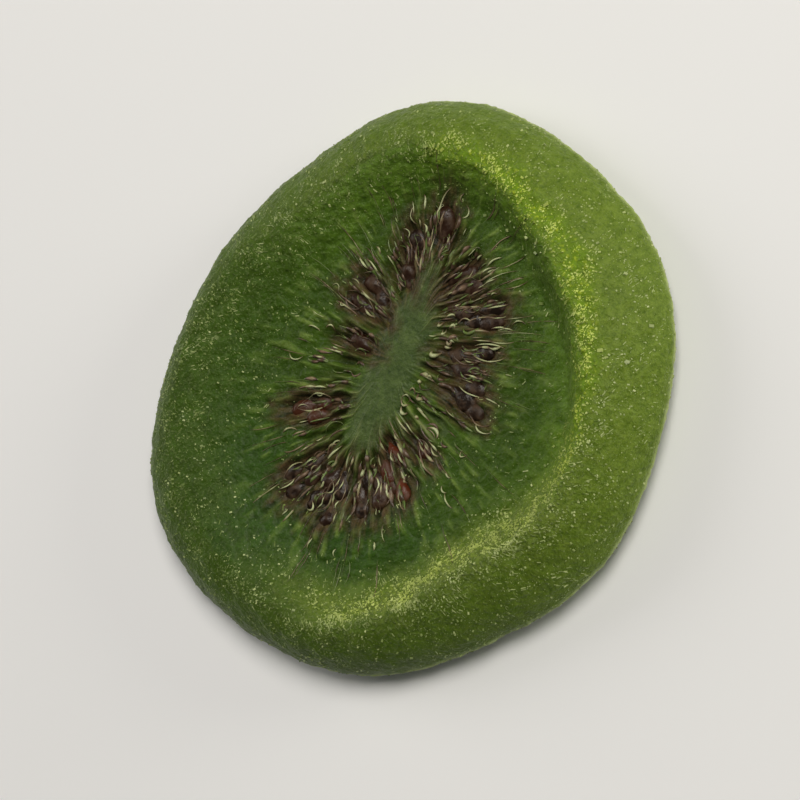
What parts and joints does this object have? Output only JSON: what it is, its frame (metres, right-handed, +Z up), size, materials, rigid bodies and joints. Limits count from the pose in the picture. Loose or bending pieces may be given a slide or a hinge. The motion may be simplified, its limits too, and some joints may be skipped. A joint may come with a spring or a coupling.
{
  "type": "dried kiwi slice",
  "caption": "Oval slice of sugared dried kiwi with a raised rim, a sunken face, a pale core and a ring of pockets and small seeds.",
  "frame": {"origin": "under the middle of the slice, on the surface that it lies on", "axes": "+Z up out of the dished face, +X along the slice's longest width"},
  "size_m": [0.0486, 0.043, 0.0071],
  "materials": {
    "kiwi_flesh": "satin, translucent jelly with a dusting of fine sugar",
    "kiwi_seed": "gloss",
    "sugar": "matte crystals"
  },
  "bodies": {
    "root": {"dried_kiwi_slice": "kiwi_flesh"}
  },
  "joints": []
}
